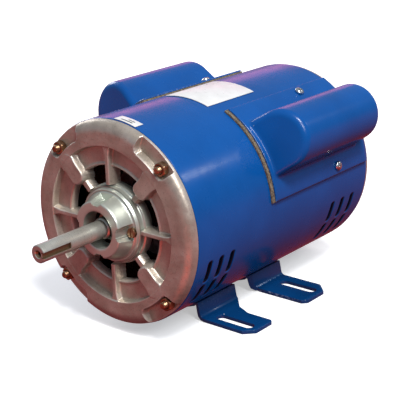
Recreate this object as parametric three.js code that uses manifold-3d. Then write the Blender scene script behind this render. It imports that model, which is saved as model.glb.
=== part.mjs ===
// A small single-phase capacitor motor with a ventilated shell, two end shields, pressed feet,
// two capacitor covers, and everything inside it: winding, cage rotor, bearings and start switch.
// Lengths are millimetres. While the parts are made, the shaft lies on the Y axis, y is counted
// backwards from the front rim of the shell, and z is height above the shaft.

import * as THREE from "three";
import { mergeVertices } from "three/addons/utils/BufferGeometryUtils.js";
import Module from "manifold-3d";

const wasm = await Module();
wasm.setup();

// ---- driving dimensions ----

const GAP = 0.3; // between pieces that touch on the real motor
const SHAFT_HEIGHT = 90;
const SHAFT_TIP = -79;
const SHAFT_RADIUS = 7;
const REAR_RIM = 235.8;
const REAR_HUB = 12; // how far the rear hub stands out behind the rear rim
const SHELL = { outer: 82.5, inner: 80.5, front: 3, rear: 232.8 };
const CORE = { outer: 80.2, bore: 44.3, front: 60, rear: 150, slots: 24, notch: 71.6 };
const TIE_BOLT = { radius: 3, circle: 75, angles: [45, 135, 225, 315] };
const BEARING = { bore: 8.8, outer: 20, width: 12, front: -4.7, rear: 226.8 };
const SEAT_RADIUS = BEARING.outer + GAP;
const SHIELD = { face: -5.2, floor: 0.5, back: 7, rim: 82, spigot: 80, ring: 62, opening: 46 };
const HUB = { nose: -18.5, seat: -5, back: 9, ring: 32.2 };
const FEET = { thickness: 3, web: 39.3, tip: 91.5, slot: 68, slotLength: 36, slotWidth: 9 };
const FRONT_FOOT = { front: 50, rear: 80, slot: 61, webFront: 50, webRear: 98, nearCut: 8, farCut: 2 };
const REAR_FOOT = { front: 125, rear: 162, slot: 148, webFront: 117, webRear: 162, nearCut: 4, farCut: 10 };
const COVER = { wall: 1.4, round: 5, halfAngle: 28.75, slope: 10 };
const RIGHT_COVER = { angle: 33.5, front: 109, length: 107, centre: 98, radius: 24 };
const LEFT_COVER = { angle: 144, front: 94, length: 103, centre: 98.5, radius: 26 };
const FLANGE = { inner: 84.6, outer: 85.9, ahead: 14, behind: 13, screwAngle: 24, screwAt: 74 };
const GASKET = { inner: 82.8, outer: 84.3, ahead: 3 };
const GOVERNOR = { plate: 174, pivot: 192, pivotHeight: 24, collar: 188, spoolEnd: 209 };
const SWITCH = { front: 219.3, rear: 221.8, pivot: 216, pivotDepth: 46 };
const LOUVRE = { width: 3.8, front: [17, 30.5, 44], rear: [182, 197, 212] };
const LOUVRE_ROWS = [[-27, -14], [-43, -30]];
const GROMMET = { angle: 196, y: 205, hole: 8 };
// The long pocket that a tie bolt's nut sits in, open to the rim. It runs from beside the nut
// towards twelve or six o'clock.
const POCKET = { inner: 69, outer: 86, floor: 1.2, before: 6.5, after: 21.5, corner: 3 };
const CAP_SCREW = { radius: 2.3, circle: 25.8, angles: [0, 180], seat: -5.6 };
const NUT = { acrossFlats: 10, height: 5, stud: 3.6 };
const KEYWAY = { width: 5, floor: 4.1, end: -52 };
const PIN = { radius: 1.2, hole: 1.7 };

const MIDDLE = (SHAFT_TIP + REAR_RIM + REAR_HUB) / 2;

// ---- materials ----

const paint = (color, roughness, metalness) => ({ color, roughness, metalness });
const BLUE_PAINT = paint(0x1552b8, 0.28, 0.1);
const CAST_ALUMINIUM = paint(0xb4aea8, 0.45, 0.85);
const BRIGHT_STEEL = paint(0xb9bab4, 0.25, 1);
const DARK_STEEL = paint(0x5a5c60, 0.5, 0.9);
const LAMINATION = paint(0x6d7076, 0.55, 0.85);
const YELLOW_ZINC = paint(0xb98a52, 0.35, 0.9);
const NICKEL = paint(0xd5d6d4, 0.22, 1);
const COPPER = paint(0x9c4a24, 0.4, 0.8);
const CAN_ALUMINIUM = paint(0xc9cbcd, 0.35, 0.95);
const CORK = paint(0x6f5d4a, 0.9, 0);
const BLACK_RUBBER = paint(0x1b1b1c, 0.8, 0);
const LAMINATE = paint(0x8a4a2a, 0.6, 0);
const WHITE_PLATE = paint(0xe9e8e2, 0.4, 0.2);

// ---- shapes and solids ----

const radians = THREE.MathUtils.degToRad;

// A manifold solid from any closed three.js geometry.
function solid(geometry) {
  const bare = new THREE.BufferGeometry();
  bare.setAttribute("position", geometry.getAttribute("position"));
  bare.setIndex(geometry.index);
  const merged = mergeVertices(bare, 1e-4);
  const corners = merged.index.array;
  const kept = [];
  for (let i = 0; i < corners.length; i += 3) {
    const [a, b, c] = corners.slice(i, i + 3);
    if (a !== b && b !== c && c !== a) kept.push(a, b, c);
  }
  const mesh = new wasm.Mesh({
    numProp: 3,
    vertProperties: merged.attributes.position.array,
    triVerts: new Uint32Array(kept),
  });
  return new wasm.Manifold(mesh);
}

// A solid turned round the shaft axis from a closed profile of [radius, y] points.
function turned(profile, segments = 24) {
  const points = profile.map(([r, y]) => new THREE.Vector2(r, y));
  const first = points[0];
  const last = points[points.length - 1];
  if (first.x > 0 || last.x > 0) points.push(first.clone());
  if (THREE.ShapeUtils.area(points) < 0) points.reverse();
  return solid(new THREE.LatheGeometry(points, segments));
}

const ring = (inner, outer, front, rear, segments) =>
  turned([[inner, front], [outer, front], [outer, rear], [inner, rear]], segments);

// A shape drawn in x and z, pushed along y from front to rear, with rounded ends if asked.
function prism(shape, front, rear, round = 0, curveSegments = 8) {
  const geometry = new THREE.ExtrudeGeometry(shape, {
    depth: rear - front - 2 * round,
    curveSegments,
    bevelEnabled: round > 0,
    bevelThickness: round,
    bevelSize: round,
    bevelOffset: -round,
    bevelSegments: 3,
  });
  geometry.rotateX(Math.PI / 2);
  geometry.translate(0, rear - round, 0);
  return geometry;
}

// A shape drawn in x and y, pushed up along z.
function slab(shape, bottom, top, curveSegments = 8) {
  const geometry = new THREE.ExtrudeGeometry(shape, {
    depth: top - bottom,
    curveSegments,
    bevelEnabled: false,
  });
  return geometry.translate(0, 0, bottom);
}

// Turns a geometry about the shaft, from +X towards +Z.
const swung = (geometry, degrees) => geometry.rotateY(-radians(degrees));

function outline(points) {
  return new THREE.Shape(points.map(([x, y]) => new THREE.Vector2(x, y)));
}

function rectangle(x0, x1, y0, y1) {
  return outline([[x0, y0], [x1, y0], [x1, y1], [x0, y1]]);
}

function sector(inner, outer, from, to) {
  const shape = new THREE.Shape();
  shape.absarc(0, 0, outer, radians(from), radians(to), false);
  shape.absarc(0, 0, inner, radians(to), radians(from), true);
  return shape;
}

function stadium(x, y, length, width) {
  const reach = (length - width) / 2;
  const shape = new THREE.Shape();
  shape.absarc(x + reach, y, width / 2, -Math.PI / 2, Math.PI / 2, false);
  shape.absarc(x - reach, y, width / 2, Math.PI / 2, 1.5 * Math.PI, false);
  return shape;
}

// A strip of even thickness to both sides of a centre line.
function strip(line, thickness) {
  const normals = line.map((_, i) => {
    const before = line[Math.max(i - 1, 0)];
    const after = line[Math.min(i + 1, line.length - 1)];
    return after.clone().sub(before).rotateAround(new THREE.Vector2(), Math.PI / 2).normalize();
  });
  const side = (sign) =>
    line.map((p, i) => p.clone().addScaledVector(normals[i], (sign * thickness) / 2));
  return new THREE.Shape([...side(1), ...side(-1).reverse()]);
}

// A bar along y, at a radius and an angle round the shaft.
function bar(radius, circle, angle, front, rear, segments = 10) {
  const geometry = new THREE.CylinderGeometry(radius, radius, rear - front, segments);
  geometry.translate(circle, (front + rear) / 2, 0);
  return solid(swung(geometry, angle));
}

// A finished solid as a three.js geometry again, to move or show it.
function geometryOf(body) {
  const { vertProperties, triVerts } = body.getMesh();
  const geometry = new THREE.BufferGeometry();
  geometry.setAttribute("position", new THREE.BufferAttribute(vertProperties, 3));
  geometry.setIndex(new THREE.BufferAttribute(triVerts, 1));
  return geometry;
}

const joined = (solids) => solids.reduce((all, one) => all.add(one));
const without = (body, cuts) => cuts.reduce((left, cut) => left.subtract(cut), body);

const motor = new THREE.Group();
motor.position.set(0, -MIDDLE, SHAFT_HEIGHT);

// Adds a named mesh of a finished solid to the motor.
function addPart(name, body, look) {
  const geometry = geometryOf(body);
  geometry.computeVertexNormals();
  const mesh = new THREE.Mesh(geometry, new THREE.MeshStandardMaterial(look));
  mesh.name = name;
  motor.add(mesh);
}

// ---- shell ----

function louvreSlots() {
  const cuts = [];
  for (const y of [...LOUVRE.front, ...LOUVRE.rear]) {
    for (const [low, high] of LOUVRE_ROWS) {
      for (const [from, to] of [[low, high], [180 - high, 180 - low]]) {
        const slot = sector(SHELL.inner - 2, SHELL.outer + 2, from, to);
        cuts.push(solid(prism(slot, y, y + LOUVRE.width, 0, 2)));
      }
    }
  }
  return cuts;
}

function radialCylinder(radius, from, to, angle, y, segments = 8) {
  const geometry = new THREE.CylinderGeometry(radius, radius, to - from, segments);
  geometry.rotateZ(-Math.PI / 2);
  geometry.translate((from + to) / 2, y, 0);
  return solid(swung(geometry, angle));
}

function shell() {
  const tube = ring(SHELL.inner, SHELL.outer, SHELL.front, SHELL.rear, 64);
  const lead = radialCylinder(GROMMET.hole, 70, 90, GROMMET.angle, GROMMET.y, 14);
  return without(tube, [...louvreSlots(), lead]);
}

// ---- end shields ----

// The cast disc with its rim and spigot, facing -y, with the rim plane at y = 0.
const SHIELD_PROFILE = [
  [SHIELD.opening, SHIELD.back],
  [SHIELD.opening, SHIELD.floor - 1],
  [SHIELD.opening + 1.6, SHIELD.floor - 1],
  [SHIELD.opening + 2.4, SHIELD.floor],
  [SHIELD.ring - 0.8, SHIELD.floor],
  [SHIELD.ring + 0.8, SHIELD.face],
  [73.5, SHIELD.face],
  [77.6, SHIELD.face + 1.2],
  [80.6, SHIELD.face + 3.7],
  [81.8, SHIELD.face + 6.4],
  [SHIELD.rim, 2.7],
  [SHIELD.spigot, 2.7],
  [SHIELD.spigot, 12],
  [77, 12],
  [77, SHIELD.back],
];

const FRONT_HUB_PROFILE = [
  [15, HUB.nose],
  [21.8, HUB.nose],
  [23, HUB.nose + 1.1],
  [26.4, -5.2],
  [28.8, -5.2],
  [28.8, -2.4],
  [30.6, -2.4],
  [30.6, 1.2],
  [HUB.ring, 1.8],
  [HUB.ring, HUB.back],
  [SEAT_RADIUS, HUB.back],
  [SEAT_RADIUS, HUB.seat],
  [15, HUB.seat],
];

const REAR_HUB_PROFILE = [
  [0, -REAR_HUB],
  [20.5, -REAR_HUB],
  [23, -REAR_HUB + 1.5],
  [26.4, -5.2],
  [30.6, -5.2],
  [30.6, 1.2],
  [HUB.ring, 1.8],
  [HUB.ring, HUB.back],
  [SEAT_RADIUS, HUB.back],
  [SEAT_RADIUS, HUB.seat],
  [14, HUB.seat],
  [14, -REAR_HUB + 3],
  [0, -REAR_HUB + 3],
];

const CROSS = [0, 90, 180, 270]; // the ribs and hub scallops, between the tie bolts

// A spoke along +X with a round inner end, then turned to its angle.
function spoke(inner, outer, halfWidth, front, angle, corner) {
  const shape = new THREE.Shape();
  shape.moveTo(outer, -halfWidth);
  shape.lineTo(outer, halfWidth);
  shape.lineTo(inner + corner, halfWidth);
  shape.quadraticCurveTo(inner, halfWidth, inner, halfWidth - corner);
  shape.lineTo(inner, corner - halfWidth);
  shape.quadraticCurveTo(inner, -halfWidth, inner + corner, -halfWidth);
  return solid(swung(prism(shape, front, SHIELD.back, 0, 3), angle));
}

function nutPocket(angle) {
  const { inner, outer, floor, before, after, corner } = POCKET;
  const towards = angle === 45 || angle === 225 ? 1 : -1;
  const point = (r, turn) => {
    const at = radians(angle + towards * turn);
    return [r * Math.cos(at), r * Math.sin(at)];
  };
  const bend = (corner / inner) * (180 / Math.PI);
  const middle = (after - before) / 2;
  const shape = outline([
    point(outer, -before), point(inner + corner, -before), point(inner, bend - before),
    point(inner, middle), point(inner, after - bend), point(inner + corner, after),
    point(outer, after), point(outer + 2, middle),
  ]);
  return solid(prism(shape, HUB.nose, floor));
}

function shield(hubProfile, capScrews) {
  const parts = [turned(SHIELD_PROFILE, 40), turned(hubProfile, 24)];
  for (const angle of TIE_BOLT.angles) {
    parts.push(spoke(40.5, 64, 7.5, SHIELD.face, angle, 4));
    parts.push(spoke(29, 44, 2.6, SHIELD.floor - 2, angle, 0.5));
  }
  for (const angle of CROSS) parts.push(spoke(29, 64, 2.2, SHIELD.face + 0.9, angle, 0.5));
  const cuts = [turned([[0, HUB.seat], [SEAT_RADIUS, HUB.seat], [SEAT_RADIUS, 20], [0, 20]], 24)];
  for (const angle of TIE_BOLT.angles) {
    cuts.push(nutPocket(angle));
    cuts.push(bar(TIE_BOLT.radius + GAP, TIE_BOLT.circle, angle, -30, 30, 8));
  }
  for (const angle of capScrews.length > 0 ? CROSS : []) {
    cuts.push(bar(7, 26.4, angle, HUB.nose - 1, CAP_SCREW.seat, 12));
  }
  for (const angle of capScrews) cuts.push(bar(CAP_SCREW.radius + GAP, CAP_SCREW.circle, angle, -30, 30));
  return without(joined(parts), cuts);
}

// Turns a front-facing solid to face backwards at the rear rim.
function faceRear(body) {
  return solid(geometryOf(body).rotateZ(Math.PI).translate(0, REAR_RIM, 0));
}

// ---- tie bolts ----

const hexagon = (acrossFlats, front, rear, circle, angle) =>
  bar(acrossFlats / Math.sqrt(3), circle, angle, front, rear, 6);

function tieBolt(angle) {
  const seat = REAR_RIM - POCKET.floor + GAP;
  const tip = POCKET.floor - GAP - NUT.height - NUT.stud;
  const stem = bar(TIE_BOLT.radius, TIE_BOLT.circle, angle, tip, seat + 1);
  const head = hexagon(NUT.acrossFlats, seat, seat + 4, TIE_BOLT.circle, angle);
  return stem.add(head);
}

function tieBoltNut(angle) {
  const rear = POCKET.floor - GAP;
  const body = hexagon(NUT.acrossFlats, rear - NUT.height, rear, TIE_BOLT.circle, angle);
  const hole = bar(TIE_BOLT.radius + GAP, TIE_BOLT.circle, angle, -30, 30);
  return body.subtract(hole);
}

// ---- feet ----

// The centre line of one pressed foot: it hugs the shell, drops as a web on each side, and
// bends out to the two flanges that stand on the floor.
function footLine() {
  const hug = SHELL.outer + GAP + FEET.thickness / 2;
  const flangeHeight = FEET.thickness / 2 - SHAFT_HEIGHT;
  const bend = 5;
  const right = [];
  for (let angle = -90; angle <= -66; angle += 8) {
    right.push(new THREE.Vector2(hug * Math.cos(radians(angle)), hug * Math.sin(radians(angle))));
  }
  right.push(new THREE.Vector2(FEET.web - 1.4, flangeHeight + 13));
  for (let angle = 180; angle <= 270; angle += 30) {
    const turn = radians(angle);
    const x = FEET.web + bend + bend * Math.cos(turn);
    right.push(new THREE.Vector2(x, flangeHeight + bend + bend * Math.sin(turn)));
  }
  right.push(new THREE.Vector2(FEET.tip, flangeHeight));
  const left = right.slice(1).map((p) => new THREE.Vector2(-p.x, p.y));
  return [...left.reverse(), ...right];
}

// The foot's outline from above, with its narrower flanges and their cut corners.
function footPlan({ front, rear, webFront, webRear, nearCut, farCut }) {
  const { web, tip } = FEET;
  const neck = web + 3;
  const right = [
    [neck - 6, webFront], [neck, front], [tip - nearCut, front], [tip, front + nearCut],
    [tip, rear - farCut], [tip - farCut, rear], [web + 27, rear],
    [web + 14, rear + 0.33 * (webRear - rear)], [neck, webRear],
  ];
  const left = right.map(([x, y]) => [-x, y]).reverse();
  return outline([...right, ...left]);
}

function foot(place) {
  const { front, rear, webFront, webRear } = place;
  const pressed = solid(prism(
    strip(footLine(), FEET.thickness), Math.min(front, webFront), Math.max(rear, webRear),
  ));
  const plan = solid(slab(footPlan(place), -SHAFT_HEIGHT - 1, 0));
  const slots = [-1, 1].map((side) => {
    const shape = stadium(side * FEET.slot, place.slot, FEET.slotLength, FEET.slotWidth);
    return solid(slab(shape, -SHAFT_HEIGHT - 1, -SHAFT_HEIGHT + 8, 4));
  });
  return without(pressed.intersect(plan), slots);
}

// ---- stator core and winding ----

const SLOT = { inner: 47.5, outer: 67, mouth: 1.5, halfWidth: 3.9 };
const slotAngle = (number) => (360 / CORE.slots) * number;

function statorCore() {
  const core = ring(CORE.bore, CORE.outer, CORE.front, CORE.rear, 48);
  const cuts = [];
  for (let number = 0; number < CORE.slots; number += 1) {
    const { inner, outer, mouth, halfWidth } = SLOT;
    const shape = outline([
      [CORE.bore - 2, -mouth], [inner, -halfWidth + 0.6], [outer, -halfWidth - 0.8],
      [outer, halfWidth + 0.8], [inner, halfWidth - 0.6], [CORE.bore - 2, mouth],
    ]);
    cuts.push(solid(swung(prism(shape, CORE.front - 1, CORE.rear + 1), slotAngle(number))));
  }
  for (const angle of TIE_BOLT.angles) {
    const notch = rectangle(CORE.notch, CORE.outer + 2, -4, 4);
    cuts.push(solid(swung(prism(notch, CORE.front - 1, CORE.rear + 1), angle)));
  }
  return without(core, cuts);
}

// A coil of one pole: two sides in their slots and an end turn at each end of the core.
function coil(firstSlot, span, side, end) {
  const reach = end.reach;
  const solids = [];
  const first = slotAngle(firstSlot);
  const last = slotAngle(firstSlot + span);
  for (const angle of [first, last]) {
    const section = rectangle(side.inner, side.outer, -side.halfWidth, side.halfWidth);
    const [front, rear] = [CORE.front - side.reach, CORE.rear + side.reach];
    solids.push(solid(swung(prism(section, front, rear), angle)));
  }
  const spread = (Math.asin(side.halfWidth / end.inner) * 180) / Math.PI;
  const arc = sector(end.inner, end.outer, first - spread, last + spread);
  solids.push(solid(prism(arc, CORE.front - reach, CORE.front - end.clear, 0, 4)));
  solids.push(solid(prism(arc, CORE.rear + end.clear, CORE.rear + reach, 0, 4)));
  return joined(solids);
}

const MAIN_SIDE = { inner: 49, outer: 66, halfWidth: 2.9, reach: 9 };
const MAIN_END = { inner: 61.5, outer: 71, clear: 3, reach: 20 };
const START_SIDE = { inner: 49, outer: 60, halfWidth: 2.9, reach: 21 };
const START_END = { inner: 49, outer: 60, clear: 11, reach: 21 };

// ---- shaft and rotor ----

const SHAFT_PROFILE = [
  [0, SHAFT_TIP],
  [SHAFT_RADIUS - 0.8, SHAFT_TIP],
  [SHAFT_RADIUS, SHAFT_TIP + 0.8],
  [SHAFT_RADIUS, -14],
  [8.5, -13],
  [8.5, BEARING.front + BEARING.width + GAP],
  [10.4, BEARING.front + BEARING.width + GAP],
  [10.4, 24],
  [12, 26],
  [12, 160],
  [10.2, 162],
  [10.2, BEARING.rear - GAP],
  [8.5, BEARING.rear - GAP],
  [8.5, 237.8],
  [7.8, 238.6],
  [0, 238.6],
];
function shaft() {
  const shape = new THREE.Shape();
  shape.moveTo(-KEYWAY.width / 2, SHAFT_TIP - 2);
  shape.lineTo(KEYWAY.width / 2, SHAFT_TIP - 2);
  shape.absarc(0, KEYWAY.end - KEYWAY.width / 2, KEYWAY.width / 2, 0, Math.PI, false);
  const keyway = slab(shape, KEYWAY.floor, 12, 5);
  keyway.rotateY(Math.PI / 2);
  const centre = turned([
    [0, SHAFT_TIP - 1], [3.4, SHAFT_TIP - 1], [1.6, SHAFT_TIP + 1.8], [1.6, SHAFT_TIP + 6], [0, SHAFT_TIP + 6],
  ], 16);
  return without(turned(SHAFT_PROFILE, 24), [solid(keyway), centre]);
}

const CAGE = { bars: 16, circle: 39.8, bar: 2.3, ringInner: 30, ringOuter: 43, ring: 9 };

function rotorCore() {
  const core = ring(12.3, CORE.bore - 0.4, CORE.front, CORE.rear, 32);
  const holes = [];
  for (let i = 0; i < CAGE.bars; i += 1) {
    const angle = (360 / CAGE.bars) * i;
    holes.push(bar(CAGE.bar + GAP, CAGE.circle, angle, CORE.front - 1, CORE.rear + 1, 4));
  }
  return without(core, holes);
}

function rotorCage() {
  const ends = [
    [CORE.front - GAP - CAGE.ring, CORE.front - GAP],
    [CORE.rear + GAP, CORE.rear + GAP + CAGE.ring],
  ];
  const solids = ends.map(([front, rear]) => ring(CAGE.ringInner, CAGE.ringOuter, front, rear, 32));
  for (let i = 0; i < CAGE.bars; i += 1) {
    const angle = (360 / CAGE.bars) * i;
    solids.push(bar(CAGE.bar, CAGE.circle, angle, ends[0][1] - 1, ends[1][0] + 1, 4));
  }
  const blade = rectangle(CAGE.ringInner + 2, CAGE.ringOuter - 1, -1, 1);
  for (let angle = 0; angle < 360; angle += 60) {
    solids.push(solid(swung(prism(blade, ends[0][0] - 9, ends[0][0] + 1), angle)));
    solids.push(solid(swung(prism(blade, ends[1][1] - 1, ends[1][1] + 7), angle)));
  }
  return joined(solids);
}

// ---- bearings ----

const RACE = { innerTop: 11.8, outerLand: 16.9, ballCircle: 14.35, ball: 2.2, balls: 7 };

function outerRace(front) {
  const rear = front + BEARING.width;
  const groove = (front + rear) / 2;
  return turned([
    [RACE.outerLand, front], [BEARING.outer, front], [BEARING.outer, rear],
    [RACE.outerLand, rear], [RACE.outerLand + 0.5, groove],
  ], 24);
}

function innerRace(front) {
  const rear = front + BEARING.width;
  const groove = (front + rear) / 2;
  return turned([
    [BEARING.bore, front], [RACE.innerTop, front], [RACE.innerTop - 0.5, groove],
    [RACE.innerTop, rear], [BEARING.bore, rear],
  ], 24);
}

function ballRow(front) {
  const middle = front + BEARING.width / 2;
  const cage = ring(RACE.ballCircle - 0.8, RACE.ballCircle + 0.8, middle - 2.6, middle + 2.6, 16);
  const balls = [];
  for (let i = 0; i < RACE.balls; i += 1) {
    const ball = new THREE.SphereGeometry(RACE.ball, 6, 3);
    ball.translate(RACE.ballCircle, middle, 0);
    balls.push(solid(swung(ball, (360 / RACE.balls) * i)));
  }
  return joined([cage, ...balls]);
}

const BEARING_CAP = { front: HUB.back + GAP, thickness: 3, outer: 31, bore: 11.4 };

function bearingCap() {
  const { front, thickness, outer, bore } = BEARING_CAP;
  const lip = BEARING.front + BEARING.width + GAP;
  const plate = turned([
    [bore, front], [17.2, front], [17.2, lip], [19.8, lip], [19.8, front],
    [outer, front], [outer, front + thickness], [bore, front + thickness],
  ]);
  const { radius, circle, angles } = CAP_SCREW;
  return without(plate, angles.map((angle) => bar(radius + GAP, circle, angle, 0, 20)));
}

function capScrew(angle) {
  const seat = CAP_SCREW.seat - GAP;
  const stem = bar(CAP_SCREW.radius, CAP_SCREW.circle, angle, seat - 1, 13);
  const head = bar(4, CAP_SCREW.circle, angle, seat - 2.8, seat, 16);
  const slot = new THREE.BoxGeometry(1, 1.4, 9).translate(CAP_SCREW.circle, seat - 2.8, 0);
  return stem.add(head).subtract(solid(swung(slot, angle)));
}

// A wavy ring that pushes the rear bearing forwards.
function waveWasher() {
  const washer = new THREE.LatheGeometry(
    [[15, 0], [19.6, 0], [19.6, 0.5], [15, 0.5], [15, 0]].map(([r, y]) => new THREE.Vector2(r, y)),
    24,
  );
  const place = washer.getAttribute("position");
  for (let i = 0; i < place.count; i += 1) {
    const turn = Math.atan2(place.getZ(i), place.getX(i));
    const rise = 0.35 * Math.cos(3 * turn);
    place.setY(i, place.getY(i) + rise + REAR_RIM - HUB.seat - GAP - 1);
  }
  return solid(washer);
}

// ---- capacitor covers ----

// The cover's section: straight flanks rising from the shell to a half-round top.
function coverSection(centre, radius, foot) {
  const shape = new THREE.Shape();
  shape.moveTo(foot, -radius - 1);
  shape.lineTo(centre, -radius);
  shape.absarc(centre, 0, radius, -Math.PI / 2, Math.PI / 2, false);
  shape.lineTo(foot, radius + 1);
  return shape;
}

// Leans the front of a cover back, so that its foot stands further forward than its crown.
function leaned(geometry, crown, frontEnd) {
  const place = geometry.getAttribute("position");
  const steepness = COVER.slope / (crown - FLANGE.outer);
  for (let i = 0; i < place.count; i += 1) {
    if (place.getY(i) > frontEnd) continue;
    place.setY(i, place.getY(i) - steepness * (crown - place.getX(i)));
  }
  return geometry;
}

function cover({ angle, front, length, centre, radius }) {
  const rear = front + length;
  const { wall, round, halfAngle } = COVER;
  const [flangeFront, flangeRear] = [front - FLANGE.ahead, rear + FLANGE.behind];
  const bodyFoot = 70;
  const crown = centre + radius;
  const flange = solid(prism(
    sector(FLANGE.inner, FLANGE.outer, -halfAngle, halfAngle), flangeFront, flangeRear, 0, 7,
  ));
  const inside = turned([[0, 0], [FLANGE.inner, 0], [FLANGE.inner, 300], [0, 300]], 64);
  const can = solid(leaned(
    prism(coverSection(centre, radius, bodyFoot), front, rear, round, 5), crown, front + round + 1,
  ));
  const hollow = solid(leaned(
    prism(coverSection(centre, radius - wall, bodyFoot), front + wall, rear - wall, round - wall, 4),
    crown, front + round + 1,
  ));
  return at(angle, without(flange.add(can.subtract(inside)), [hollow, ...screwHoles(front)]));
}

// The two screw holes of a cover, before it is turned to its place.
const screwHoles = (front) => [-1, 1].map((side) =>
  radialCylinder(2 + GAP, 80, 90, side * FLANGE.screwAngle, front + FLANGE.screwAt));

// Turns a finished solid about the shaft.
const at = (angle, body) => solid(swung(geometryOf(body), angle));

function gasket({ angle, front, length, radius }) {
  const { halfAngle, slope } = COVER;
  const [near, far] = [front - FLANGE.ahead - GASKET.ahead, front + length + FLANGE.behind];
  const sheet = sector(GASKET.inner, GASKET.outer, -halfAngle - 0.5, halfAngle + 0.5);
  const opening = rectangle(60, 90, -radius, radius);
  const window = solid(prism(opening, front + 4 - slope, front + length - 4));
  return at(angle, without(solid(prism(sheet, near, far, 0, 7)), [window, ...screwHoles(front)]));
}

function coverScrew({ angle, front }, side) {
  const height = FLANGE.outer + GAP;
  const turn = side * FLANGE.screwAngle;
  const y = front + FLANGE.screwAt;
  const head = radialCylinder(4, height, height + 2.2, turn, y, 12);
  const dome = radialCylinder(2.9, height + 2, height + 3, turn, y);
  const stem = radialCylinder(2, 79, height + 1, turn, y);
  return at(angle, joined([head, dome, stem]));
}

// Every cover screw's hole through the shell.
const shellScrewHoles = () => [RIGHT_COVER, LEFT_COVER].flatMap(({ angle, front }) =>
  [-1, 1].map((side) =>
    radialCylinder(2 + GAP, 70, 90, angle + side * FLANGE.screwAngle, front + FLANGE.screwAt)));

const CAPACITOR = { radius: 17.2, rim: 1 };

function capacitor({ angle, front, centre }, length) {
  const near = front + 12;
  const { radius, rim } = CAPACITOR;
  const can = turned([
    [0, near], [radius - 2, near], [radius - 2, near - 1], [radius, near - 1],
    [radius, near + 3], [radius - rim, near + 4], [radius - rim, near + length - 2],
    [radius - rim - 2, near + length], [0, near + length],
  ], 20);
  const tabs = [-6, 6].map((z) => solid(new THREE.BoxGeometry(6, 8, 0.8).translate(0, near - 3, z)));
  return solid(swung(geometryOf(joined([can, ...tabs])).translate(centre + 3, 0, 0), angle));
}

// ---- plates on the shell ----

function shellPlate(from, to, front, rear, thickness) {
  const inner = SHELL.outer + GAP;
  return solid(prism(sector(inner, inner + thickness, from, to), front, rear, 0, 5));
}

function leadGrommet() {
  const rings = [
    radialCylinder(GROMMET.hole + 2.5, 83.4, 86.4, GROMMET.angle, GROMMET.y, 14),
    radialCylinder(GROMMET.hole - GAP, 76, 85, GROMMET.angle, GROMMET.y, 14),
  ];
  const hole = radialCylinder(4.5, 70, 90, GROMMET.angle, GROMMET.y);
  return joined(rings).subtract(hole);
}

// ---- start switch ----

// A pin or pin hole along x.
function crossPin(radius, reach, y, z) {
  const geometry = new THREE.CylinderGeometry(radius, radius, 2 * reach, 6);
  return solid(geometry.rotateZ(Math.PI / 2).translate(0, y, z));
}

function governorPlate() {
  const { plate, pivot, pivotHeight } = GOVERNOR;
  const body = turned([
    [10.5, plate], [22, plate], [22, plate + 2], [14, plate + 2], [14, plate + 7], [10.5, plate + 7],
  ], 20);
  const lugs = [];
  for (const side of [-1, 1]) {
    for (const x of [-9.5, 9.5]) {
      const lug = rectangle(x - 1, x + 1, side * (pivotHeight - 6), side * (pivotHeight + 3));
      lugs.push(solid(prism(lug, plate, pivot + 3)));
    }
  }
  const pins = [-1, 1].map((side) => crossPin(PIN.radius, 9.5, pivot, side * pivotHeight));
  return joined([body, ...lugs, ...pins]);
}

// A weight hangs between its lugs and its finger reaches in behind the spool's collar.
function governorWeight(side) {
  const { plate, pivot, pivotHeight, collar } = GOVERNOR;
  const mass = rectangle(-7.8, 7.8, side * (pivotHeight - 1), side * (pivotHeight + 12));
  const neck = rectangle(-7.8, 7.8, side * (pivotHeight - 3), side * (pivotHeight + 3));
  const finger = rectangle(-4, 4, side * 15, side * (pivotHeight + 1));
  const body = joined([
    solid(prism(mass, plate + 5, pivot - 4)),
    solid(prism(neck, pivot - 5, pivot + 3)),
    solid(prism(finger, collar + 2 + GAP, collar + 4.3)),
  ]);
  return body.subtract(crossPin(PIN.hole, 12, pivot, side * pivotHeight));
}

function governorSpool() {
  const { collar, spoolEnd } = GOVERNOR;
  return turned([
    [10.7, collar], [17.5, collar], [17.5, collar + 2], [13, collar + 2], [13, spoolEnd - 2],
    [24, spoolEnd - 2], [24, spoolEnd], [10.7, spoolEnd],
  ], 20);
}

function switchBoard() {
  const plate = solid(prism(sector(36, 64, 205, 335), SWITCH.front, SWITCH.rear, 0, 6));
  const shieldBack = REAR_RIM - SHIELD.back - GAP;
  const posts = [225, 315].map((angle) => bar(3.5, 55, angle, SWITCH.rear - 1, shieldBack));
  const lugs = [-9, 9].map((x) =>
    solid(prism(
      rectangle(x - 1, x + 1, -SWITCH.pivotDepth - 4, -SWITCH.pivotDepth + 4),
      SWITCH.pivot - 3, SWITCH.front + 1,
    )));
  return joined([plate, ...posts, ...lugs]);
}

function switchArm() {
  const front = GOVERNOR.spoolEnd + GAP;
  const depth = SWITCH.pivotDepth;
  const arm = solid(prism(rectangle(-5, 5, -depth - 2, -17), front, front + 2));
  const lug = solid(prism(
    rectangle(-7.6, 7.6, -depth - 2.5, -depth + 2.5), front, SWITCH.pivot + 2.5,
  ));
  return arm.add(lug);
}

// ---- assembly ----

addPart("stator_shell", without(shell(), shellScrewHoles()), BLUE_PAINT);
addPart("front_end_shield", shield(FRONT_HUB_PROFILE, CAP_SCREW.angles), CAST_ALUMINIUM);
addPart("rear_end_shield", faceRear(shield(REAR_HUB_PROFILE, [])), CAST_ALUMINIUM);
addPart("front_foot", foot(FRONT_FOOT), BLUE_PAINT);
addPart("rear_foot", foot(REAR_FOOT), BLUE_PAINT);

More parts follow.
